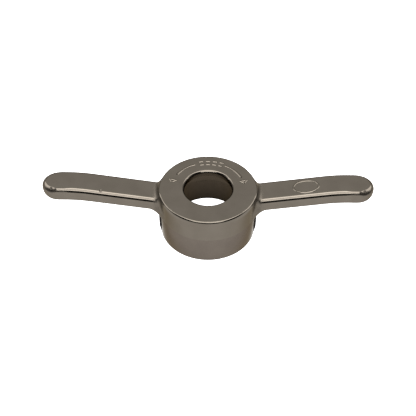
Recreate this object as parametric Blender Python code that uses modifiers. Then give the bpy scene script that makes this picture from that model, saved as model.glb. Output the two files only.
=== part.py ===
"""Two-armed operating handle of a quarter-turn plug valve, with the collar that it turns on.

Metres, +Z up. The turning axis is Z, the two arms lie along X, and the collar stands on Z = 0.
The handle's spigot runs down inside the collar, in a bronze bush, and a clip under the collar holds it.
"""

import math

import bpy
import bmesh
from mathutils import Matrix, Vector

MM = 0.001
GAP = 0.3 * MM  # left between two pieces that touch
SEGMENTS = 72

# Driving dimensions.
HUB_RADIUS = 30.0 * MM
HUB_TOP = 32.6 * MM
ARM_REACH = 99.4 * MM
ARM_WIDTH = 18.1 * MM
ARM_THICKNESS = 8.5 * MM
ARM_LIFT = 4.7 * MM  # of the arms' level ends above the hub's top
ARM_BEND = 77.1 * MM
ARM_SLOPE = math.radians(9.3)
STEM_BORE_RADIUS = 14.6 * MM
COLLAR_RADIUS = 29.65 * MM
COLLAR_TOP = 17.8 * MM
TURN_LIMIT = math.radians(90)  # each way

# The arms' rounded edges, and the flare under each root.
ARM_EDGE = 2.2 * MM
ARM_ROOT = 24.0 * MM  # inside the hub's wall
FLARE_LENGTH = 7.0 * MM

# The hub and its spigot.
HUB_BOTTOM = COLLAR_TOP + GAP
HUB_EDGE = 1.05 * MM
BORE_CHAMFER = 0.8 * MM
PLATE_THICKNESS = 3.7 * MM
CUP_RADIUS = 21.0 * MM
CUP_FILLET = 1.5 * MM
SPIGOT_RADIUS = 23.6 * MM
SPIGOT_BOTTOM = 2.0 * MM
SPIGOT_CHAMFER = 1.5 * MM

# What turns, seals and holds the spigot, from the bottom up.
CLIP_BOTTOM = 3.7 * MM
CLIP_THICKNESS = 1.2 * MM
CLIP_GROOVE_RADIUS = 22.5 * MM
CLIP_BAND = 2.0 * MM
CLIP_OPENING = math.radians(7)  # from the middle of the gap to each end
CLIP_EYE_SPAN = math.radians(9)
CLIP_EYE_RADIUS = 0.7 * MM
WASHER_THICKNESS = 0.8 * MM
BUSH_TOP = 13.2 * MM
BUSH_WALL = 1.2 * MM
BUSH_LEAD = 0.4 * MM
SEAL_HEIGHT = 15.65 * MM
SEAL_RADIUS = 0.85 * MM
SEAL_LAND_RADIUS = 24.3 * MM

WASHER_BOTTOM = CLIP_BOTTOM + CLIP_THICKNESS + GAP
RECESS_TOP = WASHER_BOTTOM + WASHER_THICKNESS + GAP
RECESS_RADIUS = 26.4 * MM
COLLAR_CHAMFER = 0.6 * MM
BUSH_INNER = SPIGOT_RADIUS + GAP
BUSH_OUTER = BUSH_INNER + BUSH_WALL
SEAL_CENTRE = SEAL_LAND_RADIUS - GAP - SEAL_RADIUS

# The stop pin and the half-circle groove that it runs in.
PIN_CIRCLE = 27.45 * MM
PIN_RADIUS = 1.0 * MM
PIN_BOTTOM = 12.2 * MM
PIN_REACH = 2.0 * MM  # into the groove
PIN_TOP = HUB_BOTTOM + PIN_REACH
PIN_HOLE_RADIUS = PIN_RADIUS + GAP
STOP_GROOVE_RADIUS = PIN_RADIUS + 1.5 * GAP
STOP_GROOVE_TOP = PIN_TOP + GAP

# The two keys in the collar's sides, and their screws.
KEY_WIDTH = 13.0 * MM
KEY_BOTTOM = 1.2 * MM
KEY_SHOULDER = 6.5 * MM  # height where its tapered foot ends
KEY_TOP = 16.6 * MM
KEY_INNER = 27.7 * MM
KEY_FOOT = 29.1 * MM
KEY_OUTER = 30.0 * MM
KEY_EDGE = 0.4 * MM
SCREW_HEIGHT = 10.6 * MM
SCREW_TIP = 25.7 * MM
SCREW_SHANK_RADIUS = 1.25 * MM
SCREW_HEAD_RADIUS = 2.4 * MM
SCREW_HEAD_BOTTOM = 28.8 * MM
SCREW_HEAD_TOP = 29.9 * MM
SOCKET_RADIUS = 1.2 * MM
SOCKET_DEPTH = 0.7 * MM
SCREW_POINT = 0.3 * MM
FINE_CHAMFER = 0.2 * MM  # on the screw heads and the stop pin

# (base colour, metallic, roughness)
FINISHES = {
    "plated_steel": ((0.24, 0.215, 0.185, 1), 1.0, 0.22),
    "machined_steel": ((0.22, 0.2, 0.175, 1), 1.0, 0.3),
    "black_oxide": ((0.035, 0.032, 0.03, 1), 0.8, 0.4),
    "spring_steel": ((0.12, 0.115, 0.11, 1), 1.0, 0.35),
    "bronze": ((0.42, 0.25, 0.11, 1), 1.0, 0.35),
    "rubber": ((0.015, 0.015, 0.015, 1), 0.0, 0.6),
}


def clear_scene():
    for obj in list(bpy.data.objects):
        bpy.data.objects.remove(obj)


def new_collection(name):
    collection = bpy.data.collections.new(name)
    bpy.context.scene.collection.children.link(collection)
    return collection


def make_finish(name):
    colour, metallic, roughness = FINISHES[name]
    finish = bpy.data.materials.new(name)
    finish.use_nodes = True
    shader = finish.node_tree.nodes["Principled BSDF"]
    shader.inputs["Base Color"].default_value = colour
    shader.inputs["Metallic"].default_value = metallic
    shader.inputs["Roughness"].default_value = roughness
    return finish


def add_object(name, data, collection, finish=None):
    """A visible piece if it is given a finish, and otherwise a cutter or a tool."""
    obj = bpy.data.objects.new(name, data)
    collection.objects.link(obj)
    if finish:
        obj.data.materials.append(finish)
    else:
        obj.hide_render = True
        obj.display_type = "WIRE"
    return obj


def arc(centre_x, centre_y, radius, start, end, steps=4):
    """Points of a circular arc, both ends included, with its angles in degrees."""
    angles = [math.radians(start + (end - start) * i / steps) for i in range(steps + 1)]
    return [
        (centre_x + radius * math.cos(a), centre_y + radius * math.sin(a)) for a in angles
    ]


def turned(name, profile, collection, finish=None, segments=SEGMENTS):
    """A closed (radius, height) profile turned about Z. It runs down its outer side first."""
    mesh = bpy.data.meshes.new(name)
    count = len(profile)
    edges = [(i, (i + 1) % count) for i in range(count)]
    mesh.from_pydata([(radius, 0, height) for radius, height in profile], edges, [])
    obj = add_object(name, mesh, collection, finish)
    screw = obj.modifiers.new("Turn", "SCREW")
    screw.axis = "Z"
    screw.steps = segments
    screw.render_steps = segments
    screw.use_merge_vertices = True
    screw.merge_threshold = 0.00001
    return obj


def evaluated_mesh(obj):
    graph = bpy.context.evaluated_depsgraph_get()
    return bpy.data.meshes.new_from_object(obj.evaluated_get(graph), depsgraph=graph)


def plate(name, outline, bottom, top, collection, finish=None):
    """A flat XY outline between two heights, as a welded mesh."""
    curve = bpy.data.curves.new(name + "_outline", "CURVE")
    curve.dimensions = "2D"
    curve.fill_mode = "BOTH"
    curve.extrude = (top - bottom) / 2
    spline = curve.splines.new("POLY")
    spline.points.add(len(outline) - 1)
    for point, (x, y) in zip(spline.points, outline):
        point.co = (x, y, 0, 1)
    spline.use_cyclic_u = True
    guide = bpy.data.objects.new(name + "_outline", curve)
    collection.objects.link(guide)
    mesh = evaluated_mesh(guide)
    bpy.data.objects.remove(guide)
    shape = bmesh.new()
    shape.from_mesh(mesh)
    bmesh.ops.remove_doubles(shape, verts=shape.verts, dist=0.000001)
    bmesh.ops.translate(shape, verts=shape.verts, vec=(0, 0, (top + bottom) / 2))
    bmesh.ops.recalc_face_normals(shape, faces=shape.faces)
    shape.to_mesh(mesh)
    shape.free()
    return add_object(name, mesh, collection, finish)


def rod(name, radius, bottom, top, collection, finish=None, segments=24):
    """A cylinder on the Z axis between two heights."""
    mesh = bpy.data.meshes.new(name)
    shape = bmesh.new()
    bmesh.ops.create_cone(
        shape,
        cap_ends=True,
        segments=segments,
        radius1=radius,
        radius2=radius,
        depth=top - bottom,
        matrix=Matrix.Translation((0, 0, (top + bottom) / 2)),
    )
    shape.to_mesh(mesh)
    shape.free()
    return add_object(name, mesh, collection, finish)


def block(name, low, high, collection):
    """A box between two corners."""
    low, high = Vector(low), Vector(high)
    mesh = bpy.data.meshes.new(name)
    shape = bmesh.new()
    bmesh.ops.create_cube(shape, size=1)
    bmesh.ops.scale(shape, verts=shape.verts, vec=high - low)
    bmesh.ops.translate(shape, verts=shape.verts, vec=(high + low) / 2)
    shape.to_mesh(mesh)
    shape.free()
    return add_object(name, mesh, collection)


def combine(obj, other, operation):
    boolean = obj.modifiers.new(other.name, "BOOLEAN")
    boolean.operation = operation
    boolean.solver = "EXACT"
    boolean.object = other


def bevel(obj, width, segments=1):
    modifier = obj.modifiers.new("Edges", "BEVEL")
    modifier.width = width
    modifier.segments = segments
    modifier.limit_method = "ANGLE"
    modifier.angle_limit = math.radians(40)


def shade_round(obj):
    obj.data.shade_smooth()
    obj.data.set_sharp_from_angle(angle=math.radians(30))


def point_along_x(obj, side):
    """Lays a piece that was made along +Z out along +X or -X, at the screws' height."""
    obj.rotation_euler = (0, side * math.pi / 2, 0)
    obj.location = (0, 0, SCREW_HEIGHT)


def arm_bottom(x):
    """Height of the sloping underside of an arm at distance x from the turning axis."""
    end_bottom = HUB_TOP + ARM_LIFT - ARM_THICKNESS
    lower_bend = ARM_BEND + ARM_THICKNESS * math.tan(ARM_SLOPE / 2)
    return end_bottom - (lower_bend - x) * math.tan(ARM_SLOPE)


def bar_outline():
    """The +X arm seen from the front, as (x, z) points: a bar that rises, bends and runs level."""
    end_top = HUB_TOP + ARM_LIFT
    end_bottom = end_top - ARM_THICKNESS
    lower_bend = ARM_BEND + ARM_THICKNESS * math.tan(ARM_SLOPE / 2)
    return [
        (ARM_ROOT, end_top - (ARM_BEND - ARM_ROOT) * math.tan(ARM_SLOPE)),
        (ARM_ROOT, arm_bottom(ARM_ROOT)),
        (lower_bend, end_bottom),
        (ARM_REACH, end_bottom),
        (ARM_REACH, end_top),
        (ARM_BEND, end_top),
    ]


def flare_outline():
    """What fills the corner under an arm's root, as (x, z) points: a quarter of an oval."""
    start = HUB_RADIUS + FLARE_LENGTH
    height = arm_bottom(start) - HUB_BOTTOM
    curve = [
        (start - FLARE_LENGTH * math.sin(a), HUB_BOTTOM + height * math.cos(a))
        for a in (math.radians(15 * i) for i in range(7))
    ]
    inside = ARM_THICKNESS / 2
    return [
        (ARM_ROOT, arm_bottom(ARM_ROOT) + inside),
        (ARM_ROOT, HUB_BOTTOM),
        *reversed(curve),
        (start, arm_bottom(start) + inside),
    ]


def upright(name, outline, half_width, tools):
    """A plate from (x, z) points, standing across the Y axis."""
    obj = plate(name, outline, -half_width, half_width, tools)
    obj.data.transform(Matrix.Rotation(math.pi / 2, 4, "X"))
    return obj


def mirror_across_x(obj):
    mirror = obj.modifiers.new("Both", "MIRROR")
    mirror.use_axis = (True, False, False)
    mirror.use_mirror_merge = False


def make_bars(tools):
    """Both arms as one tool: the side outline cut to a round-ended plan, and its mirror image."""
    half = ARM_WIDTH / 2
    bars = upright("arm_bars", bar_outline(), half, tools)
    plan = [(0, half), (0, -half), *arc(ARM_REACH - half, 0, half, -90, 90, 12)]
    plan_tool = plate("arm_plan", plan, 0, 2 * HUB_TOP, tools)
    combine(bars, plan_tool, "INTERSECT")
    bevel(bars, ARM_EDGE, 2)
    mirror_across_x(bars)
    return bars


def make_flares(tools):
    flares = upright("arm_flares", flare_outline(), ARM_WIDTH / 2 - ARM_EDGE / 2, tools)
    mirror_across_x(flares)
    return flares


def hub_profile():
    """The hub, its spigot with the seal's and the clip's grooves, and the cup inside."""
    plate_bottom = HUB_TOP - PLATE_THICKNESS
    seal_groove = SEAL_CENTRE - SEAL_RADIUS - GAP
    seal_half = SEAL_RADIUS + GAP
    clip_top = CLIP_BOTTOM + CLIP_THICKNESS + GAP
    return [
        *arc(HUB_RADIUS - HUB_EDGE, HUB_TOP - HUB_EDGE, HUB_EDGE, 90, 0),
        (HUB_RADIUS, HUB_BOTTOM + GAP),
        (HUB_RADIUS - GAP, HUB_BOTTOM),
        (SPIGOT_RADIUS, HUB_BOTTOM),
        (SPIGOT_RADIUS, SEAL_HEIGHT + seal_half),
        (seal_groove, SEAL_HEIGHT + seal_half),
        (seal_groove, SEAL_HEIGHT - seal_half),
        (SPIGOT_RADIUS, SEAL_HEIGHT - seal_half),
        (SPIGOT_RADIUS, clip_top),
        (CLIP_GROOVE_RADIUS, clip_top),
        (CLIP_GROOVE_RADIUS, CLIP_BOTTOM - GAP),
        (SPIGOT_RADIUS, CLIP_BOTTOM - GAP),
        (SPIGOT_RADIUS, SPIGOT_BOTTOM),
        (CUP_RADIUS + SPIGOT_CHAMFER, SPIGOT_BOTTOM),
        (CUP_RADIUS, SPIGOT_BOTTOM + SPIGOT_CHAMFER),
        *arc(CUP_RADIUS - CUP_FILLET, plate_bottom - CUP_FILLET, CUP_FILLET, 0, 90),
        (STEM_BORE_RADIUS, plate_bottom),
        (STEM_BORE_RADIUS, HUB_TOP - BORE_CHAMFER),
        (STEM_BORE_RADIUS + BORE_CHAMFER, HUB_TOP),
    ]


def stop_groove(tools):
    """The groove under the rear half of the hub, as long as the turn, with the pin's room at its ends."""
    limit = math.degrees(TURN_LIMIT)
    start, end = 90 - limit, 90 + limit
    outer = arc(0, 0, PIN_CIRCLE + STOP_GROOVE_RADIUS, start, end, 36)
    inner = arc(0, 0, PIN_CIRCLE - STOP_GROOVE_RADIUS, end, start, 36)
    left_end = arc(-PIN_CIRCLE, 0, STOP_GROOVE_RADIUS, 180, 360, 8)[1:-1]
    right_end = arc(PIN_CIRCLE, 0, STOP_GROOVE_RADIUS, 180, 360, 8)[1:-1]
    outline = outer + left_end + inner + right_end
    return plate("stop_groove", outline, HUB_BOTTOM - MM, STOP_GROOVE_TOP, tools)


def make_handle(parts, tools, finish):
    handle = turned("handle_casting", hub_profile(), parts, finish)
    combine(handle, make_bars(tools), "UNION")
    combine(handle, make_flares(tools), "UNION")
    combine(handle, stop_groove(tools), "DIFFERENCE")
    shade_round(handle)
    return handle


def make_seal(parts, finish):
    profile = arc(SEAL_CENTRE, SEAL_HEIGHT, SEAL_RADIUS, 90, -270, 10)[:-1]
    return turned("dust_seal", profile, parts, finish)


def make_clip(parts, tools, finish):
    """An open spring ring with an eye at each end of its gap, which faces -Y."""
    inner = CLIP_GROOVE_RADIUS + GAP
    band = inner + CLIP_BAND
    eye = RECESS_RADIUS - GAP
    gap_half = math.degrees(CLIP_OPENING)
    eye_half = math.degrees(CLIP_OPENING + CLIP_EYE_SPAN)
    outline = [
        *arc(0, 0, inner, -90 - gap_half, -450 + gap_half, 60),
        *arc(0, 0, eye, -90 + gap_half, -90 + eye_half, 3),
        *arc(0, 0, band, -90 + eye_half + 2, 270 - eye_half - 2, 56),
        *arc(0, 0, eye, 270 - eye_half, 270 - gap_half, 3),
    ]
    clip = plate("retaining_clip", outline, CLIP_BOTTOM, CLIP_BOTTOM + CLIP_THICKNESS, parts, finish)
    middle = CLIP_OPENING + CLIP_EYE_SPAN / 2
    for side in (-1, 1):
        hole = rod("clip_eye", CLIP_EYE_RADIUS, 0, RECESS_TOP, tools, segments=12)
        angle = side * middle - math.pi / 2
        reach = (inner + eye) / 2
        hole.location = (reach * math.cos(angle), reach * math.sin(angle), 0)
        combine(clip, hole, "DIFFERENCE")
    return clip


def make_washer(parts, finish):
    inner = SPIGOT_RADIUS + GAP
    outer = RECESS_RADIUS - GAP
    top = WASHER_BOTTOM + WASHER_THICKNESS
    profile = [(outer, top), (outer, WASHER_BOTTOM), (inner, WASHER_BOTTOM), (inner, top)]
    return turned("thrust_washer", profile, parts, finish)


def make_bush(parts, finish):
    bottom = RECESS_TOP + GAP
    profile = [
        (BUSH_OUTER - BUSH_LEAD, BUSH_TOP),
        (BUSH_OUTER, BUSH_TOP - BUSH_LEAD),
        (BUSH_OUTER, bottom + BUSH_LEAD),
        (BUSH_OUTER - BUSH_LEAD, bottom),
        (BUSH_INNER, bottom),
        (BUSH_INNER, BUSH_TOP),
    ]
    return turned("bearing_bush", profile, parts, finish)


def collar_profile():
    """The ring: its bottom recess, the bush's seat and the land that the seal runs on."""
    seat = BUSH_OUTER + GAP
    seat_top = BUSH_TOP + GAP
    return [
        (COLLAR_RADIUS - GAP, COLLAR_TOP),
        (COLLAR_RADIUS, COLLAR_TOP - GAP),
        (COLLAR_RADIUS, COLLAR_CHAMFER),
        (COLLAR_RADIUS - COLLAR_CHAMFER, 0),
        (RECESS_RADIUS + COLLAR_CHAMFER, 0),
        (RECESS_RADIUS, COLLAR_CHAMFER),
        (RECESS_RADIUS, RECESS_TOP),
        (seat, RECESS_TOP),
        (seat, seat_top),
        (SEAL_LAND_RADIUS, seat_top),
        (SEAL_LAND_RADIUS, COLLAR_TOP - COLLAR_CHAMFER),
        (SEAL_LAND_RADIUS + COLLAR_CHAMFER, COLLAR_TOP),
    ]


def make_collar(parts, tools, finish):
    """The ring with a pocket for a key in each side, its screw holes and the stop pin's hole."""
    collar = turned("collar_ring", collar_profile(), parts, finish)
    half = KEY_WIDTH / 2 + GAP
    for side in (-1, 1):
        near, far = sorted((side * (KEY_INNER - GAP), side * (KEY_OUTER + MM)))
        pocket = block(
            "key_pocket", (near, -half, KEY_BOTTOM - GAP), (far, half, KEY_TOP + GAP), tools
        )
        combine(collar, pocket, "DIFFERENCE")
    holes = rod("screw_holes", SCREW_SHANK_RADIUS + GAP, -KEY_OUTER, KEY_OUTER, tools)
    point_along_x(holes, 1)
    combine(collar, holes, "DIFFERENCE")
    pin_hole = rod("pin_hole", PIN_HOLE_RADIUS, PIN_BOTTOM - GAP, HUB_BOTTOM, tools)
    pin_hole.location = (0, PIN_CIRCLE, 0)
    combine(collar, pin_hole, "DIFFERENCE")
    shade_round(collar)
    return collar


def make_pin(parts, finish):
    pin = rod("stop_pin", PIN_RADIUS, PIN_BOTTOM, PIN_TOP, parts, finish)
    pin.location = (0, PIN_CIRCLE, 0)
    bevel(pin, FINE_CHAMFER)
    return pin


def key_mesh(parts, tools):
    """The +X key: a flat bar with a tapered foot, and a stepped hole for its screw."""
    outline = [
        (KEY_INNER, KEY_TOP),
        (KEY_INNER, KEY_BOTTOM),
        (KEY_FOOT, KEY_BOTTOM),
        (KEY_OUTER, KEY_SHOULDER),
        (KEY_OUTER, KEY_TOP),
    ]
    key = upright("key_blank", outline, KEY_WIDTH / 2, parts)
    bevel(key, KEY_EDGE)
    through = rod("key_hole", SCREW_SHANK_RADIUS + GAP, CUP_RADIUS, KEY_OUTER + MM, tools)
    head_room = rod(
        "key_counterbore", SCREW_HEAD_RADIUS + GAP, SCREW_HEAD_BOTTOM - GAP, KEY_OUTER + MM, tools
    )
    for hole in (through, head_room):
        point_along_x(hole, 1)
        combine(key, hole, "DIFFERENCE")
    mesh = evaluated_mesh(key)
    bpy.data.objects.remove(key)
    return mesh


def make_keys(parts, tools, finish):
    """Two equal keys, half a turn apart."""
    mesh = key_mesh(parts, tools)
    mesh.materials.clear()
    mesh.materials.append(finish)
    for name, turn in (("side_key_right", 0), ("side_key_left", math.pi)):
        key = bpy.data.objects.new(name, mesh)
        parts.objects.link(key)
        key.rotation_euler = (0, 0, turn)


def make_screws(parts, tools, finish):
    """A socket-head screw through each key, made upright and laid along X."""
    profile = [
        (0, SCREW_HEAD_TOP),
        (SCREW_HEAD_RADIUS - FINE_CHAMFER, SCREW_HEAD_TOP),
        (SCREW_HEAD_RADIUS, SCREW_HEAD_TOP - FINE_CHAMFER),
        (SCREW_HEAD_RADIUS, SCREW_HEAD_BOTTOM),
        (SCREW_SHANK_RADIUS, SCREW_HEAD_BOTTOM),
        (SCREW_SHANK_RADIUS, SCREW_TIP + SCREW_POINT),
        (SCREW_SHANK_RADIUS - SCREW_POINT, SCREW_TIP),
        (0, SCREW_TIP),
    ]
    for name, side in (("key_screw_right", 1), ("key_screw_left", -1)):
        screw = turned(name, profile, parts, finish, segments=24)
        socket = rod(
            "socket", SOCKET_RADIUS, SCREW_HEAD_TOP - SOCKET_DEPTH, KEY_OUTER + MM, tools, segments=6
        )
        for obj in (screw, socket):
            point_along_x(obj, side)
        combine(screw, socket, "DIFFERENCE")


def main():
    clear_scene()
    parts = new_collection("valve_handle")
    tools = new_collection("cutters")
    finish = {name: make_finish(name) for name in FINISHES}

    turning = [
        make_handle(parts, tools, finish["plated_steel"]),
        make_seal(parts, finish["rubber"]),
        make_clip(parts, tools, finish["spring_steel"]),
    ]
    axis = bpy.data.objects.new("turning_axis", None)
    parts.objects.link(axis)
    for piece in turning:
        piece.parent = axis

    make_collar(parts, tools, finish["machined_steel"])
    make_bush(parts, finish["bronze"])
    make_washer(parts, finish["spring_steel"])
    make_pin(parts, finish["machined_steel"])
    make_keys(parts, tools, finish["black_oxide"])
    make_screws(parts, tools, finish["black_oxide"])


main()
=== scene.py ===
"""Looks of the two-armed valve handle: its fine surfaces, finishes, studio and camera.

Sizes named here are in millimetres, as a drawing has them. A mesh is scaled to metres when it
is made.
"""

import itertools
import math

import bmesh
import bpy
import numpy as np
from mathutils import Matrix, Vector


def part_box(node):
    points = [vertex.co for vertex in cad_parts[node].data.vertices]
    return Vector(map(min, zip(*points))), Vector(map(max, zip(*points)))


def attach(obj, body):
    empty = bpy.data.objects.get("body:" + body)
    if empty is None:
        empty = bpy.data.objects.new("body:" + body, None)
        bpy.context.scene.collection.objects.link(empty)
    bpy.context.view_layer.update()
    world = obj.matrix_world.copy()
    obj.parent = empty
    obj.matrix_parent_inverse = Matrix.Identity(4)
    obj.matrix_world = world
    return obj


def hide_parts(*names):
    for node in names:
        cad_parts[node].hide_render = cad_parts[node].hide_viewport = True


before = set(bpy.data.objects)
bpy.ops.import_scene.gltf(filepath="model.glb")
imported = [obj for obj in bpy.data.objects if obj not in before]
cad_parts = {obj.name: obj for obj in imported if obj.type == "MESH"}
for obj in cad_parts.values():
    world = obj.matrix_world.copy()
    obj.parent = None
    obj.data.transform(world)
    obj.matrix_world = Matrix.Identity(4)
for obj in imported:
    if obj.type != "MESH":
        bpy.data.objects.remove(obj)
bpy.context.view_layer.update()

MM = 0.001

# What the frame says, in millimetres.
HANDLE_LOW, HANDLE_HIGH = (np.array(c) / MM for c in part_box("handle_casting"))
_, COLLAR_HIGH = (np.array(c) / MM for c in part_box("collar_ring"))
WASHER_LOW, WASHER_HIGH = (np.array(c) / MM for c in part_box("thrust_washer"))
CLIP_LOW, CLIP_HIGH = (np.array(c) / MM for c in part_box("retaining_clip"))
BUSH_LOW, BUSH_HIGH = (np.array(c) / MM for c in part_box("bearing_bush"))
SEAL_LOW, SEAL_HIGH = (np.array(c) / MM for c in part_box("dust_seal"))
PIN_LOW, PIN_HIGH = (np.array(c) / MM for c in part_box("stop_pin"))
KEY_LOW, KEY_HIGH = (np.array(c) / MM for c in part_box("side_key_right"))
SCREW_LOW, SCREW_HIGH = (np.array(c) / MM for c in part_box("key_screw_right"))

GAP = 0.3  # between two pieces that touch

# The hub.
HUB_RADIUS = HANDLE_HIGH[1]
HUB_TOP = 32.6
HUB_EDGE = 0.5
HUB_TAPER = (0.8, 1.5)  # how far the steep band under the top edge goes in, and down
BORE_RADIUS = 14.6
BORE_CHAMFER = 0.9
BORE_EDGE = 0.3
PLATE_THICKNESS = 3.7
CUP_RADIUS = 21.0
CUP_FILLET = 1.5
HUB_BOTTOM = COLLAR_HIGH[2] + GAP

# The arms.
TIP_ALLOWANCE = 0.35  # that each tip is short of the CAD's
ARM_REACH = HANDLE_HIGH[0] - TIP_ALLOWANCE
ARM_TOP = HANDLE_HIGH[2]
ARM_WIDTH = 18.15
ARM_THICKNESS = 8.5
ARM_BEND = 77.1
ARM_BEND_SOFTNESS = 1.2
ARM_RISE = math.tan(math.radians(9.32))

# The arms' edges, each rounded to a radius that changes over a span of x, y or z.
ARM_UPPER_EDGE = 2.65
ARM_LOWER_EDGE = 1.7
LEVEL_EDGE = 2.0  # along the front of the level ends
LEVEL_SPAN = (ARM_BEND + 3, ARM_BEND + 8)
LEVEL_FRONT = (0, 4)  # from the middle towards the front
TIP_CENTRE = ARM_REACH - ARM_WIDTH / 2
TIP_UPPER_EDGE = 3.3
TIP_UPPER_SPAN = (TIP_CENTRE - 1.5, TIP_CENTRE + 2)
TIP_LOWER_EDGE = 3.6
TIP_LOWER_SPAN = (TIP_CENTRE - 2, ARM_REACH)

# The fillet between the arms and the hub, by height.
ROOT_FILLET = 3.0
TOP_FILLET = 4.2  # at the height of the hub's top
TOP_SPAN = (28, 31)
FLARE_FILLET = 7.0  # under the arms
FLARE_SPAN = (27, 21)

# Casting pits: the middle and the radius of each.
PITS = (((-63.3, -6.5, 35.3), 0.9),)

# The spigot and what is round it.
SPIGOT_RADIUS = 23.6
SPIGOT_BOTTOM = HANDLE_LOW[2]
SPIGOT_CHAMFER = 1.5
SPIGOT_OVERLAP = 1.5  # that it goes up into the hub
SPIGOT_INSET = 0.02  # that its inner wall stands in from the cup's
COLLAR_EDGE = 0.25
COLLAR_FOOT_EDGE = 0.6
COLLAR_LEAD = 0.5  # on its inner edges
WASHER_EDGE = 0.15
BUSH_EDGE = 0.35
KEY_CLEARANCE = 0.15
KEY_POCKET_EDGE = 0.6
PIN_CIRCLE = (PIN_LOW[1] + PIN_HIGH[1]) / 2
PIN_HOLE_RADIUS = 1.3
PIN_EDGE = 0.2

# The key screws.
SCREW_HEIGHT = (SCREW_LOW[2] + SCREW_HIGH[2]) / 2
SCREW_HEAD_THICKNESS = 1.1
SCREW_HEAD_EDGE = 0.4
SCREW_SHANK_RADIUS = 1.25
SCREW_HOLE_RADIUS = 1.55
SCREW_POINT = 0.3
SOCKET_RADIUS = 1.2
SOCKET_DEPTH = 0.7

CELL = 0.6  # of the grid that the casting's surface is read from
MOST_TURN = (9, 13)  # degrees that a face may turn before it is split, in each round
RELAX_ROUNDS = 2
SETTLE_ROUNDS = 3
LEAST_SLOPE = 0.05  # squared, that a point is walked along
FLAT_TOLERANCE = 0.001  # that a point on the flat underside may be off its height
TURNED_STEPS = 192


# ---------------------------------------------------------------- shapes from distance fields


def round_union(a, b, radius):
    """Distance to two shapes joined, with a fillet of this radius in the corner between them."""
    corner = np.hypot(np.maximum(radius - a, 0), np.maximum(radius - b, 0))
    return np.maximum(radius, np.minimum(a, b)) - corner


def round_common(a, b, radius):
    """Distance to what two shapes share, with the edge between them rounded to this radius."""
    corner = np.hypot(np.maximum(radius + a, 0), np.maximum(radius + b, 0))
    return np.minimum(-radius, np.maximum(a, b)) + corner


def smooth_step(value, start, end):
    """0 before the start, 1 past the end, and smooth in between. The end may be the lower one."""
    share = np.clip((value - start) / (end - start), 0, 1)
    return share * share * (3 - 2 * share)


def blend(first, second, share):
    return first + (second - first) * share


def soft_lower(a, b, softness):
    """The lower of two heights, with a soft bend where they meet."""
    share = np.clip(0.5 + 0.5 * (b - a) / softness, 0, 1)
    return b + (a - b) * share - softness * share * (1 - share)


def arm_field(x, y, z):
    """Both arms: a bar that rises from the hub, bends and runs level to a round end."""
    x = np.abs(x)
    top = soft_lower(ARM_TOP - (ARM_BEND - x) * ARM_RISE, ARM_TOP + 0 * x, ARM_BEND_SOFTNESS)
    plan = np.hypot(np.maximum(x - TIP_CENTRE, 0), y) - ARM_WIDTH / 2
    level = smooth_step(x, *LEVEL_SPAN) * smooth_step(-y, *LEVEL_FRONT)
    upper_edge = blend(ARM_UPPER_EDGE, LEVEL_EDGE, level)
    upper_edge = blend(upper_edge, TIP_UPPER_EDGE, smooth_step(x, *TIP_UPPER_SPAN))
    lower_edge = blend(ARM_LOWER_EDGE, TIP_LOWER_EDGE, smooth_step(x, *TIP_LOWER_SPAN))
    upper = round_common(plan, z - top, upper_edge)
    return round_common(upper, top - ARM_THICKNESS - z, lower_edge)


def groove_field(x, y, z):
    """The stop pin's groove: half a circle long, behind the middle, open at the hub's bottom."""
    around = np.where(
        y > 0, np.abs(np.hypot(x, y) - PIN_CIRCLE), np.hypot(np.abs(x) - PIN_CIRCLE, y)
    )
    pin_radius = (PIN_HIGH[0] - PIN_LOW[0]) / 2
    return np.maximum(around - pin_radius - 1.5 * GAP, z - PIN_HIGH[2] - GAP)


def casting_field(x, y, z):
    """The hub and arms, with the stem bore, the cup and the stop groove taken out."""
    reach = np.hypot(x, y)
    hub = round_common(reach - HUB_RADIUS, z - HUB_TOP, HUB_EDGE)
    taper_in, taper_down = HUB_TAPER
    size = math.hypot(taper_in, taper_down)
    band = ((reach - HUB_RADIUS) * taper_down + (z - HUB_TOP + taper_down) * taper_in) / size
    hub = round_common(hub, band, HUB_EDGE)
    fillet = blend(ROOT_FILLET, FLARE_FILLET, smooth_step(z, *FLARE_SPAN))
    fillet = blend(fillet, TOP_FILLET, smooth_step(z, *TOP_SPAN))
    solid = round_union(hub, arm_field(x, y, z), fillet)
    solid = np.maximum(solid, BORE_RADIUS - reach)
    chamfer = (BORE_RADIUS + BORE_CHAMFER - reach + z - HUB_TOP) / math.sqrt(2)
    solid = round_common(solid, chamfer, BORE_EDGE)
    for place, radius in PITS:
        pit = radius - np.sqrt((x - place[0]) ** 2 + (y - place[1]) ** 2 + (z - place[2]) ** 2)
        solid = np.maximum(solid, pit)
    cup = round_common(reach - CUP_RADIUS, z - HUB_TOP + PLATE_THICKNESS, CUP_FILLET)
    solid = np.maximum(solid, -cup)
    return np.maximum(solid, -groove_field(x, y, z))


def field_slope(field, points, step=0.02):
    """The field's gradient at each point, by central differences."""
    slope = np.empty_like(points)
    for axis in range(3):
        ahead, behind = points.copy(), points.copy()
        ahead[:, axis] += step
        behind[:, axis] -= step
        slope[:, axis] = (field(*ahead.T) - field(*behind.T)) / (2 * step)
    return slope


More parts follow.
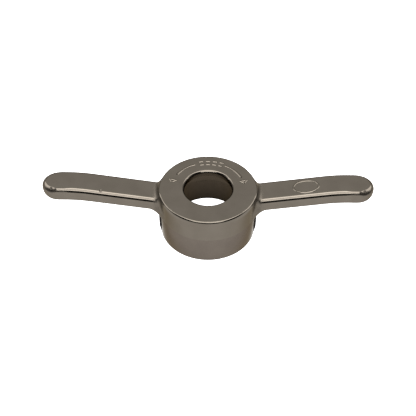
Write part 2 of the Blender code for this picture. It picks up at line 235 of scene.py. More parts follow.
def crossed_cells(field, low, high):
    """A grid over the box: its crossed cells' middles, each cell's number, and inside flags.

    A cell that the surface doesn't cross has the number -1.
    """
    axes = [np.arange(a - 1.5 * CELL, b + 2.5 * CELL, CELL) for a, b in zip(low, high)]
    inside = np.empty([len(a) for a in axes], bool)
    for i, x in enumerate(axes[0]):  # a slice at a time, to save memory
        y, z = np.meshgrid(axes[1], axes[2], indexing="ij")
        inside[i] = field(np.full_like(y, x), y, z) < 0
    corners = sum(
        inside[tuple(slice(o, n - 1 + o) for o, n in zip(offset, inside.shape))].astype(np.int8)
        for offset in itertools.product((0, 1), repeat=3)
    )
    crossed = (corners > 0) & (corners < 8)
    numbers = np.full(crossed.shape, -1)
    numbers[crossed] = np.arange(np.count_nonzero(crossed))
    start = np.array([a[0] for a in axes])
    points = start + (np.argwhere(crossed) + 0.5) * CELL
    return points, numbers, inside


def surface_quads(numbers, inside):
    """One quad round each grid edge that the surface crosses, facing out."""
    quads = []
    for axis in range(3):
        along, across = (axis + 1) % 3, (axis + 2) % 3
        first = np.take(inside, range(inside.shape[axis] - 1), axis)
        second = np.take(inside, range(1, inside.shape[axis]), axis)
        edges = np.argwhere(first != second)
        # The surface stays open at the grid's own sides.
        edges = edges[(edges[:, along] > 0) & (edges[:, across] > 0)]
        corners = []
        for u, v in ((0, 0), (-1, 0), (-1, -1), (0, -1)):
            cell = edges.copy()
            cell[:, along] += u
            cell[:, across] += v
            corners.append(numbers[tuple(cell.T)])
        quad = np.stack(corners, 1)
        flip = ~first[tuple(edges.T)]
        quad[flip] = quad[flip][:, ::-1]
        quads.append(quad)
    return np.concatenate(quads)


def relax(points, quads):
    """Each point moved to the middle of its quads' neighbours, which evens out the grid's steps."""
    total = np.zeros_like(points)
    count = np.zeros(len(points))
    for shift in (1, 3):
        neighbour = np.roll(quads, shift, 1)
        for corner in range(4):
            np.add.at(total, quads[:, corner], points[neighbour[:, corner]])
            np.add.at(count, quads[:, corner], 1)
    return total / count[:, None]


def settle(field, points, rounds):
    """Points walked along the field's slope onto its zero level."""
    for _ in range(rounds):
        slope = field_slope(field, points)
        size = np.maximum((slope**2).sum(1), LEAST_SLOPE)
        move = slope * (field(*points.T) / size)[:, None]
        length = np.linalg.norm(move, axis=1, keepdims=True)
        points = points - move * np.minimum(1, CELL / np.maximum(length, 1e-9))
    return points


def mesh_points(mesh):
    """The mesh's points in millimetres."""
    points = np.empty(len(mesh.vertices) * 3, np.float32)
    mesh.vertices.foreach_get("co", points)
    return points.reshape(-1, 3).astype(float) / MM


def field_normals(mesh, field):
    """The field's direction at each of the mesh's points."""
    slope = field_slope(field, mesh_points(mesh))
    return slope / np.maximum(np.linalg.norm(slope, axis=1, keepdims=True), 1e-9)


def corner_points(mesh):
    """The point number of each face corner."""
    corners = np.empty(len(mesh.loops), np.int32)
    mesh.loops.foreach_get("vertex_index", corners)
    return corners


def refine(mesh, field, most_turn):
    """Splits each face whose corners' normals differ by more than this many degrees.

    The new points are then settled on the field's zero level.
    """
    normals = field_normals(mesh, field)
    corners = corner_points(mesh)
    starts = np.empty(len(mesh.polygons), np.int32)
    mesh.polygons.foreach_get("loop_start", starts)
    counts = np.diff(np.append(starts, len(corners)))
    first = np.repeat(normals[corners[starts]], counts, 0)
    agreement = np.minimum.reduceat((first * normals[corners]).sum(1), starts)
    bent = agreement < math.cos(math.radians(most_turn))
    shape = bmesh.new()
    shape.from_mesh(mesh)
    shape.faces.ensure_lookup_table()
    edges = {edge for face in np.flatnonzero(bent) for edge in shape.faces[face].edges}
    bmesh.ops.subdivide_edges(shape, edges=list(edges), cuts=1, use_grid_fill=True)
    shape.to_mesh(mesh)
    shape.free()
    points = settle(field, mesh_points(mesh), SETTLE_ROUNDS)
    mesh.vertices.foreach_set("co", (points * MM).astype(np.float32).ravel())
    mesh.update()


def surface_of(name, field, low, high, floor):
    """A closed mesh on the zero level of a field, cut flat at the height floor."""
    points, numbers, inside = crossed_cells(field, low, high)
    quads = surface_quads(numbers, inside)
    for _ in range(RELAX_ROUNDS):
        points = settle(field, relax(points, quads), 2)
    points = settle(field, points, SETTLE_ROUNDS)
    mesh = bpy.data.meshes.new(name)
    mesh.from_pydata((points * MM).tolist(), [], quads.tolist())
    for most_turn in MOST_TURN:
        refine(mesh, field, most_turn)
    cut_flat(mesh, floor * MM)
    set_field_normals(mesh, field, floor)
    return new_piece(name, mesh)


def cut_flat(mesh, height):
    """Takes off what is below a height, and closes the cut with one flat face."""
    shape = bmesh.new()
    shape.from_mesh(mesh)
    bmesh.ops.bisect_plane(
        shape,
        geom=[*shape.verts, *shape.edges, *shape.faces],
        dist=1e-7,
        plane_co=(0, 0, height),
        plane_no=(0, 0, 1),
        clear_inner=True,
    )
    rim = [edge for edge in shape.edges if edge.is_boundary]
    made = bmesh.ops.triangle_fill(shape, edges=rim, use_beauty=True, normal=(0, 0, -1))
    for face in made["geom"]:
        if isinstance(face, bmesh.types.BMFace) and face.normal.z > 0:
            face.normal_flip()
    shape.to_mesh(mesh)
    shape.free()


def set_field_normals(mesh, field, floor):
    """Exact shading normals: the field's direction, and straight down on the flat underside."""
    normals = field_normals(mesh, field)[corner_points(mesh)]
    flat = np.abs(mesh_points(mesh)[:, 2] - floor) < FLAT_TOLERANCE
    for face in mesh.polygons:
        if all(flat[v] for v in face.vertices):
            normals[face.loop_start : face.loop_start + face.loop_total] = (0, 0, -1)
    mesh.shade_smooth()
    mesh.normals_split_custom_set(normals.tolist())


# ---------------------------------------------------------------- turned and plain pieces


def new_piece(name, mesh):
    obj = bpy.data.objects.new(name, mesh)
    bpy.context.scene.collection.objects.link(obj)
    return obj


def arc(centre_r, centre_z, radius, start, end, steps=6):
    """Points of a circular arc, both ends included, with its angles in degrees."""
    angles = [math.radians(start + (end - start) * i / steps) for i in range(steps + 1)]
    return [(centre_r + radius * math.cos(a), centre_z + radius * math.sin(a)) for a in angles]


def turned(name, profile, steps=TURNED_STEPS):
    """A closed (radius, height) profile turned about Z. It runs down its outer side first."""
    mesh = bpy.data.meshes.new(name)
    count = len(profile)
    edges = [(i, (i + 1) % count) for i in range(count)]
    mesh.from_pydata([(r * MM, 0, z * MM) for r, z in profile], edges, [])
    obj = new_piece(name, mesh)
    screw = obj.modifiers.new("Turn", "SCREW")
    screw.steps = screw.render_steps = steps
    screw.use_merge_vertices = True
    screw.merge_threshold = 1e-6
    return obj


def made_solid(obj, angle=30):
    """The object with its modifiers applied, smooth except at edges sharper than the angle."""
    graph = bpy.context.evaluated_depsgraph_get()
    mesh = bpy.data.meshes.new_from_object(obj.evaluated_get(graph), depsgraph=graph)
    obj.modifiers.clear()
    obj.data = mesh
    mesh.shade_smooth()
    mesh.set_sharp_from_angle(angle=math.radians(angle))
    return obj


def take_out(obj, tools):
    """The object with its tools cut out of it. The tools are then removed."""
    for tool in tools:
        boolean = obj.modifiers.new(tool.name, "BOOLEAN")
        boolean.operation = "DIFFERENCE"
        boolean.solver = "EXACT"
        boolean.object = tool
    made_solid(obj)
    for tool in tools:
        bpy.data.objects.remove(tool)
    return obj


def rod(name, radius, bottom, top, steps=48):
    return turned(name, [(0, top), (radius, top), (radius, bottom), (0, bottom)], steps)


def along_x(obj, side, height):
    """Lays a piece made along +Z out along +X or -X, at a height in millimetres."""
    turn = Matrix.Rotation(side * math.pi / 2, 4, "Y")
    obj.matrix_world = Matrix.Translation((0, 0, height * MM)) @ turn
    return obj


# ---------------------------------------------------------------- finishes


EDGE_TINT = (0.48, 0.46, 0.43, 1)  # of a metal seen at a slant

# Where the finish changes, in millimetres. It changes evenly over each span.
# Under this span the bore and cup walls get their painted shade colour and a rougher surface.
UNDER_RIM = (HUB_TOP - 1.2, HUB_TOP - 0.5)  # the top of the bore's finish
CUP_WALL = (CUP_RADIUS + 0.3, CUP_RADIUS + 0.4)
ROOT_START = (24.5, 26.5)  # distances along the arms
ROOT_END = (31.5, 34)
ROOT_HEIGHT = (HUB_TOP - 0.7, HUB_TOP - 0.3)
LEVEL_HEIGHT = (ARM_TOP - 0.5, ARM_TOP - 0.2)


def set_span(remap, start, end, low, high):
    """Makes a Map Range node turn start to end into low to high."""
    values = {"From Min": start, "From Max": end, "To Min": low, "To Max": high}
    for name, value in values.items():
        remap.inputs[name].default_value = value


class Finish:
    """A node material, built up step by step round one Principled shader."""

    def __init__(self, name, metallic, roughness):
        self.material = bpy.data.materials.new(name)
        self.material.use_nodes = True
        self.tree = self.material.node_tree
        self.shader = self.tree.nodes["Principled BSDF"]
        self.shader.inputs["Metallic"].default_value = metallic
        self.shader.inputs["Roughness"].default_value = roughness
        if metallic == 1.0:
            self.shader.inputs["Specular Tint"].default_value = EDGE_TINT
        self.place = self.node("ShaderNodeTexCoord").outputs["Object"]
        self.bump = None

    def node(self, kind, **values):
        made = self.tree.nodes.new(kind)
        for key, value in values.items():
            setattr(made, key, value)
        return made

    def link(self, source, target):
        self.tree.links.new(source, target)

    def noise(self, scale, detail=3.0, place=None):
        """A noise value whose scale is in cycles a metre."""
        noise = self.node("ShaderNodeTexNoise")
        noise.inputs["Scale"].default_value = scale
        noise.inputs["Detail"].default_value = detail
        self.link(place or self.place, noise.inputs["Vector"])
        return noise.outputs["Fac"]

    def split(self):
        """The place's X, Y and Z, in metres."""
        split = self.node("ShaderNodeSeparateXYZ")
        self.link(self.place, split.inputs["Vector"])
        return [split.outputs[axis] for axis in "XYZ"]

    def joined(self, **sources):
        """A vector from sources for its X, Y or Z."""
        joined = self.node("ShaderNodeCombineXYZ")
        for axis, source in sources.items():
            self.link(source, joined.inputs[axis])
        return joined.outputs["Vector"]

    def times(self, *shares):
        """The shares multiplied together."""
        total = shares[0]
        for share in shares[1:]:
            product = self.node("ShaderNodeMath", operation="MULTIPLY")
            self.link(total, product.inputs[0])
            self.link(share, product.inputs[1])
            total = product.outputs["Value"]
        return total

    def reach_and_height(self):
        """Distance from the turning axis, and height, both in metres."""
        x, y, z = self.split()
        reach = self.node("ShaderNodeVectorMath", operation="LENGTH")
        self.link(self.joined(X=x, Y=y), reach.inputs[0])
        return reach.outputs["Value"], z

    def out_and_height(self):
        """Distance along the arms, to either side, and height, both in metres."""
        x, _, z = self.split()
        out = self.node("ShaderNodeMath", operation="ABSOLUTE")
        self.link(x, out.inputs[0])
        return out.outputs["Value"], z

    def rising(self, value, span):
        """0 to 1 over a span in millimetres."""
        return self.remap(value, 0, 1, *(edge * MM for edge in span))

    def falling(self, value, span):
        """1 to 0 over a span in millimetres."""
        return self.remap(value, 1, 0, *(edge * MM for edge in span))

    def rings(self, scale, detail=2.0):
        """Noise that varies only with reach and height, as turning marks do."""
        reach, height = self.reach_and_height()
        return self.noise(scale, detail, self.joined(X=reach, Z=height))

    def inside_bore(self):
        """1 on the walls of the bore and the cup, 0 on the rest, blended on the rounded rim."""
        reach, height = self.reach_and_height()
        return self.times(self.falling(reach, CUP_WALL), self.falling(height, UNDER_RIM))

    def at_roots(self):
        """1 where the arms' roots run into the hub, under its rim, 0 on the rest."""
        out, height = self.out_and_height()
        near = self.times(self.rising(out, ROOT_START), self.falling(out, ROOT_END))
        return self.times(near, self.falling(height, ROOT_HEIGHT))

    def at_level_ends(self):
        """1 on the sides of the level ends, just under their top edge, 0 on the rest."""
        out, height = self.out_and_height()
        return self.times(self.rising(out, LEVEL_SPAN), self.falling(height, LEVEL_HEIGHT))

    def rougher(self, share, amount, rough):
        """A roughness that goes up by an amount where the share is 1."""
        added = self.node("ShaderNodeMath", operation="MULTIPLY_ADD")
        self.link(share, added.inputs[0])
        added.inputs[1].default_value = amount
        self.link(rough, added.inputs[2])
        return added.outputs["Value"]

    def mixed(self, share, first, second):
        """Two colours, mixed by a share."""
        mix = self.node("ShaderNodeMix", data_type="RGBA")
        self.link(share, mix.inputs["Factor"])
        for socket, source in (("A", first), ("B", second)):
            target = next(i for i in mix.inputs if i.name == socket and i.type == "RGBA")
            self.link(source, target)
        return next(o for o in mix.outputs if o.type == "RGBA")

    def ramp(self, value, stops):
        """A value turned into a colour by (position, colour) stops."""
        ramp = self.node("ShaderNodeValToRGB")
        elements = ramp.color_ramp.elements
        while len(elements) < len(stops):
            elements.new(0.5)
        for element, (position, colour) in zip(elements, stops):
            element.position = position
            element.color = (*colour, 1)
        self.link(value, ramp.inputs["Fac"])
        return ramp.outputs["Color"]

    def remap(self, value, low, high, start=0.3, end=0.7):
        """The span from start to end of a noise value, stretched between low and high."""
        remap = self.node("ShaderNodeMapRange")
        set_span(remap, start, end, low, high)
        self.link(value, remap.inputs["Value"])
        return remap.outputs["Result"]

    def add_bump(self, value, depth_mm):
        """Relief of a depth in millimetres, on top of what is there already."""
        bump = self.node("ShaderNodeBump")
        bump.inputs["Strength"].default_value = 1.0
        bump.inputs["Distance"].default_value = depth_mm * MM
        self.link(value, bump.inputs["Height"])
        if self.bump:
            self.link(self.bump, bump.inputs["Normal"])
        self.bump = bump.outputs["Normal"]
        self.link(self.bump, self.shader.inputs["Normal"])

    def colour(self, source):
        self.link(source, self.shader.inputs["Base Color"])

    def roughness(self, source):
        self.link(source, self.shader.inputs["Roughness"])


def plate_tones_and_painted_bore_shade(finish, dark, light):
    """Cloudy plate outside, and inside the bore a dark brown painted shade that gets darker
    downwards.
    """
    outside = finish.ramp(finish.noise(100, 4), [(0.3, dark), (0.7, light)])
    height = finish.split()[2]
    depth = finish.rising(height, (SPIGOT_BOTTOM, HUB_TOP - PLATE_THICKNESS))
    # Painted shade: the bore and cup walls are coloured dark brown, darker towards the bottom,
    # where the shadow inside the cup falls.
    inside = finish.ramp(depth, [(0, (0.0085, 0.0067, 0.005)), (0.8, (0.034, 0.0265, 0.019))])
    finish.colour(finish.mixed(finish.inside_bore(), outside, inside))


def plated_casting():
    """Grey nickel over a polished casting: slight ripple, fine grain, cloudy tone, and painted
    shade inside the bore.
    """
    finish = Finish("plated_casting", 1.0, 0.2)
    plate_tones_and_painted_bore_shade(finish, (0.078, 0.068, 0.056), (0.088, 0.077, 0.064))
    rough = finish.remap(finish.noise(420, 3), 0.03, 0.08)
    rough = finish.rougher(finish.at_roots(), 0.35, rough)
    rough = finish.rougher(finish.at_level_ends(), 0.28, rough)
    finish.roughness(finish.rougher(finish.inside_bore(), 0.22, rough))
    finish.add_bump(finish.noise(160, 2), 0.03)
    finish.add_bump(finish.noise(2600, 3), 0.003)
    return finish.material


def turned_plate():
    """The same plate over a turned wall, with faint rings."""
    finish = Finish("turned_plate", 1.0, 0.25)
    plate_tones_and_painted_bore_shade(finish, (0.07, 0.059, 0.05), (0.08, 0.068, 0.057))
    rough = finish.remap(finish.noise(380, 3), 0.14, 0.22)
    finish.roughness(finish.rougher(finish.inside_bore(), 0.22, rough))
    finish.add_bump(finish.rings(1500), 0.008)
    finish.add_bump(finish.noise(2200, 3), 0.004)
    return finish.material


# Near-black steel, used for the side keys and the key screws.
def black_oxide():
    finish = Finish("black_oxide", 1.0, 0.4)
    cloud = finish.noise(300, 4)
    finish.colour(finish.ramp(cloud, [(0.3, (0.012, 0.011, 0.01)), (0.75, (0.03, 0.027, 0.025))]))
    finish.roughness(finish.remap(finish.noise(900, 2), 0.36, 0.5))
    finish.add_bump(finish.noise(2400, 3), 0.01)
    return finish.material


def spring_steel():
    finish = Finish("spring_steel", 1.0, 0.33)
    cloud = finish.noise(260, 3)
    finish.colour(finish.ramp(cloud, [(0.3, (0.1, 0.095, 0.092)), (0.7, (0.16, 0.15, 0.14))]))
    finish.roughness(finish.remap(finish.noise(700, 2), 0.26, 0.42))
    finish.add_bump(finish.rings(2600), 0.008)
    return finish.material


def bronze():
    finish = Finish("bronze", 1.0, 0.33)
    cloud = finish.noise(240, 3)
    finish.colour(finish.ramp(cloud, [(0.3, (0.36, 0.2, 0.085)), (0.7, (0.48, 0.29, 0.13))]))
    finish.roughness(finish.remap(finish.noise(600, 2), 0.26, 0.42))
    finish.add_bump(finish.rings(2200), 0.01)
    return finish.material


def rubber():
    finish = Finish("rubber", 0.0, 0.6)
    cloud = finish.noise(500, 3)
    finish.colour(finish.ramp(cloud, [(0.3, (0.012, 0.012, 0.012)), (0.7, (0.028, 0.027, 0.026))]))
    finish.roughness(finish.remap(finish.noise(900, 2), 0.5, 0.7))
    finish.add_bump(finish.noise(3000, 2), 0.01)
    return finish.material


def pale_floor():
    finish = Finish("pale_floor", 0.0, 0.7)
    cloud = finish.noise(6, 2)
    finish.colour(finish.ramp(cloud, [(0.3, (0.12, 0.12, 0.12)), (0.7, (0.14, 0.14, 0.14))]))
    finish.shader.inputs["Emission Color"].default_value = (1, 1, 1, 1)
    finish.shader.inputs["Emission Strength"].default_value = FLOOR_GLOW
    return finish.material


def dress(obj, material, slot, body, *nodes):
    """Gives a piece its finish and its body, and hides the nodes that it stands for. Its slot
    argument is not used.
    """
    obj.data.materials.clear()
    obj.data.materials.append(material)
    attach(obj, body)
    if nodes:
        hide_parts(*nodes)


# ---------------------------------------------------------------- the pieces


def make_casting():
    low = (-ARM_REACH, -HUB_RADIUS, HUB_BOTTOM - 4 * CELL)
    high = (ARM_REACH, HUB_RADIUS, ARM_TOP)
    return surface_of("handle_hub_and_arms", casting_field, low, high, HUB_BOTTOM)


def make_spigot():
    """The handle's turned skirt, with the seal's and the clip's grooves."""
    inner = CUP_RADIUS - SPIGOT_INSET
    seal_groove = SEAL_HIGH[0] - (SEAL_HIGH[2] - SEAL_LOW[2]) - GAP
    seal_top, seal_bottom = SEAL_HIGH[2] + GAP, SEAL_LOW[2] - GAP
    clip_top, clip_bottom = CLIP_HIGH[2] + GAP, CLIP_LOW[2] - GAP
    clip_groove = CUP_RADIUS + SPIGOT_CHAMFER
    lead = 0.25
    profile = [
        (SPIGOT_RADIUS, HUB_BOTTOM + SPIGOT_OVERLAP),
        (SPIGOT_RADIUS, seal_top),
        (seal_groove, seal_top),
        (seal_groove, seal_bottom),
        (SPIGOT_RADIUS, seal_bottom),
        (SPIGOT_RADIUS, clip_top),
        (clip_groove, clip_top),
        (clip_groove, clip_bottom),
        (SPIGOT_RADIUS, clip_bottom),
        (SPIGOT_RADIUS, SPIGOT_BOTTOM + lead),
        (SPIGOT_RADIUS - lead, SPIGOT_BOTTOM),
        (inner + SPIGOT_CHAMFER, SPIGOT_BOTTOM),
        (inner, SPIGOT_BOTTOM + SPIGOT_CHAMFER),
        (inner, HUB_BOTTOM + SPIGOT_OVERLAP),
    ]
    return made_solid(turned("handle_spigot", profile))


def make_collar():
    """The lower ring, with its key pockets, screw holes and recess."""
    radius = COLLAR_HIGH[1]
    top = COLLAR_HIGH[2]
    recess = WASHER_HIGH[0] + GAP
    recess_top = WASHER_HIGH[2] + GAP
    seat = BUSH_HIGH[0] + GAP
    land = SEAL_HIGH[0] + GAP
    profile = [
        *arc(radius - COLLAR_EDGE, top - COLLAR_EDGE, COLLAR_EDGE, 90, 0, 4),
        *arc(radius - COLLAR_FOOT_EDGE, COLLAR_FOOT_EDGE, COLLAR_FOOT_EDGE, 0, -90),
        *arc(recess + COLLAR_LEAD, COLLAR_LEAD, COLLAR_LEAD, -90, -180),
        (recess, recess_top),
        (seat, recess_top),
        (seat, BUSH_HIGH[2] + GAP),
        (land, BUSH_HIGH[2] + GAP),
        (land, top - COLLAR_LEAD),
        (land + COLLAR_LEAD, top),
    ]
    collar = turned("collar_body", profile)
    screw_hole = rod("screw_hole", SCREW_HOLE_RADIUS, -KEY_HIGH[0], KEY_HIGH[0])
    tools = [along_x(screw_hole, 1, SCREW_HEIGHT)]
    for side in (-1, 1):
        tools.append(key_pocket(side))
    tools.append(rod("pin_hole", PIN_HOLE_RADIUS, PIN_LOW[2] - GAP, top + 1))
    tools[-1].location.y = PIN_CIRCLE * MM
    return take_out(collar, tools)


def key_pocket(side):
    """A round-cornered block that clears a key, and comes out through the wall."""
    half_width = (KEY_HIGH[1] - KEY_LOW[1]) / 2 + KEY_CLEARANCE
    low = Vector((KEY_LOW[0] - GAP, -half_width, KEY_LOW[2] - KEY_CLEARANCE))
    high = Vector((KEY_HIGH[0] + 1, half_width, KEY_HIGH[2] + KEY_CLEARANCE))
    mesh = bpy.data.meshes.new("key_pocket")
    shape = bmesh.new()
    bmesh.ops.create_cube(shape, size=1)
    bmesh.ops.scale(shape, verts=shape.verts, vec=(high - low) * MM)
    bmesh.ops.translate(shape, verts=shape.verts, vec=(high + low) / 2 * MM)
    along = [e for e in shape.edges if abs((e.verts[0].co - e.verts[1].co).x) > MM]
    edge = KEY_POCKET_EDGE * MM
    bmesh.ops.bevel(shape, geom=along, offset=edge, segments=4, affect="EDGES", profile=0.5)
    shape.to_mesh(mesh)
    shape.free()
    pocket = new_piece("key_pocket", mesh)
    pocket.matrix_world = Matrix.Rotation(0 if side > 0 else math.pi, 4, "Z")
    return pocket


def make_washer():
    inner = SPIGOT_RADIUS + GAP
    outer = WASHER_HIGH[0]
    profile = rounded_band(inner, outer, WASHER_LOW[2], WASHER_HIGH[2], WASHER_EDGE)
    return made_solid(turned("washer_ring", profile))


def make_bush():
    inner = SPIGOT_RADIUS + GAP
    profile = rounded_band(inner, BUSH_HIGH[0], BUSH_LOW[2], BUSH_HIGH[2], BUSH_EDGE)
    return made_solid(turned("bush_sleeve", profile))


def rounded_band(inner, outer, bottom, top, edge):
    """The profile of a plain ring with rounded edges."""
    return [
        *arc(outer - edge, top - edge, edge, 90, 0, 3),
        *arc(outer - edge, bottom + edge, edge, 0, -90, 3),
        *arc(inner + edge, bottom + edge, edge, -90, -180, 3),
        *arc(inner + edge, top - edge, edge, 180, 90, 3),
    ]


def make_seal():
    radius = (SEAL_HIGH[2] - SEAL_LOW[2]) / 2
    profile = arc(SEAL_HIGH[0] - radius, SEAL_LOW[2] + radius, radius, 90, -270, 20)[:-1]
    return made_solid(turned("seal_ring", profile), 60)


def make_pin():
    radius = (PIN_HIGH[0] - PIN_LOW[0]) / 2
    profile = [
        (0, PIN_HIGH[2]),
        *arc(radius - PIN_EDGE, PIN_HIGH[2] - PIN_EDGE, PIN_EDGE, 90, 0, 3),
        *arc(radius - PIN_EDGE, PIN_LOW[2] + PIN_EDGE, PIN_EDGE, 0, -90, 3),
        (0, PIN_LOW[2]),
    ]
    pin = made_solid(turned("pin_body", profile, 32))
    pin.location.y = PIN_CIRCLE * MM
    return pin


def make_screw(name, side):
    """A button-head screw with a hex socket, laid along X."""
    head_radius = (SCREW_HIGH[2] - SCREW_LOW[2]) / 2
    top, point = SCREW_HIGH[0], SCREW_LOW[0]
    seat = top - SCREW_HEAD_THICKNESS
    edge = SCREW_HEAD_EDGE
    profile = [
        (0, top),
        *arc(head_radius - edge, top - edge, edge, 90, 0, 5),
        (head_radius, seat),
        (SCREW_SHANK_RADIUS, seat),
        (SCREW_SHANK_RADIUS, point + SCREW_POINT),
        (SCREW_SHANK_RADIUS - SCREW_POINT, point),
        (0, point),
    ]
    screw = along_x(turned(name, profile, 64), side, SCREW_HEIGHT)
    socket = rod("socket", SOCKET_RADIUS, top - SOCKET_DEPTH, top + 1, 6)
    return take_out(screw, [along_x(socket, side, SCREW_HEIGHT)])


# ---------------------------------------------------------------- raised marks

SINK = 0.71  # how deep a bead's middle lies under the surface, as a share of its radius
BAR_BEAD = 0.95
BAR_ANGLES = (69.5, 80, 90.5, 101)
BAR_HALF_ANGLE = 3
BAR_CIRCLES = (21.2, 24.2)
ARROW_BEAD = 1.1
ARROW_CIRCLE = 22.3
ARROWS = ((112, 149, 168), (62, 25, 11))  # degrees of each shaft's start and end and head's tip
HEAD_LENGTH = 5.5  # degrees
HEAD_HALF_WIDTH = 2.0
ARM_MARK_BEAD = 0.8
ARM_MARK_MIDDLE = 58.7  # along X
ARM_MARK_HALF_LENGTH = 7.4
ARM_MARK_HALF_WIDTH = 5.0
ARM_MARK_STEPS = 48


def bead(name, paths, radius, closed=False):
    """Round beads along lists of points in millimetres, as one piece."""
    curve = bpy.data.curves.new(name, "CURVE")
    curve.dimensions = "3D"
    curve.bevel_depth = radius * MM
    curve.bevel_resolution = 4
    curve.use_fill_caps = True
    for path in paths:
        spline = curve.splines.new("POLY")
        spline.points.add(len(path) - 1)
        spline.use_cyclic_u = closed
        for point, place in zip(spline.points, path):
            point.co = (*(c * MM for c in place), 1)
    return bpy.data.objects.new(name, curve)


def on_hub(radius, angle, height=HUB_TOP):
    """A point on the hub's top, by its distance from the axis and its angle in degrees."""
    a = math.radians(angle)
    return (radius * math.cos(a), radius * math.sin(a), height)


def arc_on_hub(radius, start, end, height):
    steps = max(2, round(abs(end - start) / 2))
    return [on_hub(radius, start + (end - start) * i / steps, height) for i in range(steps + 1)]


def link_as_mesh(curve_object):
    """A curve object turned into a mesh piece."""
    bpy.context.scene.collection.objects.link(curve_object)
    graph = bpy.context.evaluated_depsgraph_get()
    mesh = bpy.data.meshes.new_from_object(curve_object.evaluated_get(graph), depsgraph=graph)
    name = curve_object.name
    bpy.data.objects.remove(curve_object)
    obj = new_piece(name, mesh)
    mesh.shade_smooth()
    return obj


def make_hub_marks():
    """A double dashed line between the arrows, raised on the hub's top."""
    height = HUB_TOP - SINK * BAR_BEAD
    paths = []
    for angle in BAR_ANGLES:
        start, end = angle - BAR_HALF_ANGLE, angle + BAR_HALF_ANGLE
        paths.extend(arc_on_hub(circle, start, end, height) for circle in BAR_CIRCLES)
    return link_as_mesh(bead("hub_marks", paths, BAR_BEAD))


def make_arrows():
    """The two curved arrows raised on the hub's top: a shaft, and a three-sided head."""
    height = HUB_TOP - SINK * ARROW_BEAD
    paths = [arc_on_hub(ARROW_CIRCLE, start, end, height) for start, end, _ in ARROWS]
    for start, _, tip in ARROWS:
        back = tip + math.copysign(HEAD_LENGTH, start - tip)
        point = on_hub(ARROW_CIRCLE, tip, height)
        outer = on_hub(ARROW_CIRCLE + HEAD_HALF_WIDTH, back, height)
        inner = on_hub(ARROW_CIRCLE - HEAD_HALF_WIDTH, back, height)
        paths.extend([[inner, outer], [outer, point], [point, inner]])
    return link_as_mesh(bead("hub_arrows", paths, ARROW_BEAD))


def make_arm_mark():
    """A plain oval outline raised on the right arm."""
    path = []
    for step in range(ARM_MARK_STEPS):
        a = 2 * math.pi * step / ARM_MARK_STEPS
        x = ARM_MARK_MIDDLE + ARM_MARK_HALF_LENGTH * math.cos(a)
        y = ARM_MARK_HALF_WIDTH * math.sin(a)
        top = ARM_TOP - (ARM_BEND - x) * ARM_RISE
        path.append((x, y, top - SINK * ARM_MARK_BEAD))
    return link_as_mesh(bead("arm_mark", [path], ARM_MARK_BEAD, closed=True))


# ---------------------------------------------------------------- studio and camera

VIEW_HEIGHT = 42.92  # degrees above the horizon, of the hub's top seen from the camera
VIEW_SIDE = -0.05  # degrees that the camera stands to the left of the front
VIEW_ROLL = 0.61
VIEW_DISTANCE = 360.4
FIELD_OF_VIEW = 38.24
AIM = (0.1, 0, 15.2)

FLOOR_REACH = 60.0  # metres from the middle to each side
FLOOR_GLOW = 2.05

# How far back a direction points (its Y) where the room stops being dark, and where it is
# fully light.
WORLD_DARK = -0.4
WORLD_LIGHT = 0.5
WORLD_COLOURS = ((0.05, 0.05, 0.05, 1), (1, 1, 0.99, 1))
WORLD_RISE = (0.3, 0.55)  # the directions' heights (Z) between which its strength rises
WORLD_STRENGTH = (1.0, 1.85)

# Each panel's turn and lean in degrees, distance, width and height in metres, and radiance.
PANELS = {
    "over_back": (0, 78, 1.0, 0.84, 0.66, 7.2),
    "over_front": (180, 62.5, 1.0, 0.84, 0.48, 7.2),
    "left_side": (-66, 41, 1.0, 0.6, 0.5, 4.0),
    "right_side": (66, 41, 1.0, 0.6, 0.5, 4.0),
}


def direction(turn, lean):
    """A unit vector at a turn from the back to the right, and a lean above the horizon."""
    turn, lean = math.radians(turn), math.radians(lean)
    flat = math.cos(lean)
    return Vector((math.sin(turn) * flat, math.cos(turn) * flat, math.sin(lean)))


def make_camera():
    data = bpy.data.cameras.new("camera")
    data.sensor_fit = "HORIZONTAL"
    data.angle = math.radians(FIELD_OF_VIEW)
    data.clip_start = 0.01
    camera = bpy.data.objects.new("camera", data)
    bpy.context.scene.collection.objects.link(camera)
    away = direction(180 + VIEW_SIDE, VIEW_HEIGHT)
    place = (Vector((0, 0, HUB_TOP)) + VIEW_DISTANCE * away) * MM
    look = Vector(AIM) * MM - place
    turn = look.to_track_quat("-Z", "Y").to_matrix().to_4x4()
    roll = Matrix.Rotation(math.radians(VIEW_ROLL), 4, "Z")
    camera.matrix_world = Matrix.Translation(place) @ turn @ roll
    bpy.context.scene.camera = camera


def make_floor():
    mesh = bpy.data.meshes.new("floor")
    sides = ((-1, -1), (1, -1), (1, 1), (-1, 1))
    corners = [(x * FLOOR_REACH, y * FLOOR_REACH, 0) for x, y in sides]
    mesh.from_pydata(corners, [], [(0, 1, 2, 3)])
    floor = new_piece("floor", mesh)
    mesh.materials.append(pale_floor())


def make_panel(name, turn, lean, reach, width, height, radiance):
    """A flat light panel that faces the object."""
    data = bpy.data.lights.new(name, "AREA")
    data.shape = "RECTANGLE"
    data.size, data.size_y = width, height
    data.energy = radiance * math.pi * width * height
    panel = bpy.data.objects.new(name, data)
    bpy.context.scene.collection.objects.link(panel)
    away = direction(turn, lean)
    panel.location = away * reach
    panel.rotation_euler = (-away).to_track_quat("-Z", "Y").to_euler()


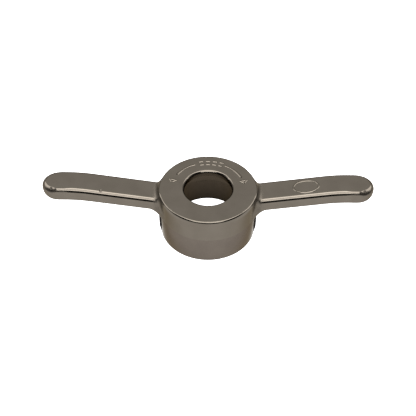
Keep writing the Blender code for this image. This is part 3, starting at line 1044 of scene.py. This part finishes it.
def make_world():
    """A room that is light behind the object, dark on the camera's side, and brighter high up."""
    world = bpy.data.worlds.new("studio")
    bpy.context.scene.world = world
    world.use_nodes = True
    tree = world.node_tree
    background = tree.nodes["Background"]
    place = tree.nodes.new("ShaderNodeTexCoord")
    split = tree.nodes.new("ShaderNodeSeparateXYZ")
    tree.links.new(place.outputs["Generated"], split.inputs["Vector"])
    share = smooth_range(tree, split.outputs["Y"], WORLD_DARK, WORLD_LIGHT, 0, 1)
    ramp = tree.nodes.new("ShaderNodeValToRGB")
    for element, colour in zip(ramp.color_ramp.elements, WORLD_COLOURS):
        element.color = colour
    tree.links.new(share, ramp.inputs["Fac"])
    tree.links.new(ramp.outputs["Color"], background.inputs["Color"])
    strength = smooth_range(tree, split.outputs["Z"], *WORLD_RISE, *WORLD_STRENGTH)
    tree.links.new(strength, background.inputs["Strength"])


def smooth_range(tree, source, start, end, low, high):
    """A smooth step of a value from start to end, between low and high."""
    step = tree.nodes.new("ShaderNodeMapRange")
    step.interpolation_type = "SMOOTHSTEP"
    set_span(step, start, end, low, high)
    tree.links.new(source, step.inputs["Value"])
    return step.outputs["Result"]


def make_studio():
    """A light tent: two panels overhead, one at each side, a light back and an open dark front."""
    make_world()
    make_floor()
    for name, values in PANELS.items():
        make_panel(name, *values)
    bpy.context.scene.view_settings.view_transform = "Standard"


def main():
    plated, machined = plated_casting(), turned_plate()
    black, spring = black_oxide(), spring_steel()
    dress(make_casting(), plated, "plated_steel", "handle", "handle_casting")
    dress(make_spigot(), machined, "plated_steel", "handle")
    dress(make_hub_marks(), plated, "plated_steel", "handle")
    dress(make_arrows(), plated, "plated_steel", "handle")
    dress(make_arm_mark(), plated, "plated_steel", "handle")
    dress(make_seal(), rubber(), "rubber", "handle", "dust_seal")
    dress(make_collar(), machined, "machined_steel", "collar", "collar_ring")
    dress(make_washer(), spring, "spring_steel", "collar", "thrust_washer")
    dress(make_bush(), bronze(), "bronze", "collar", "bearing_bush")
    dress(make_pin(), machined, "machined_steel", "collar", "stop_pin")
    for name, side in (("right", 1), ("left", -1)):
        screw = make_screw("screw_" + name, side)
        dress(screw, black, "black_oxide", "collar", "key_screw_" + name)
        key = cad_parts["side_key_" + name]
        for slot in key.material_slots:
            slot.material = black
    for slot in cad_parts["retaining_clip"].material_slots:
        slot.material = spring
    make_studio()
    make_camera()


main()
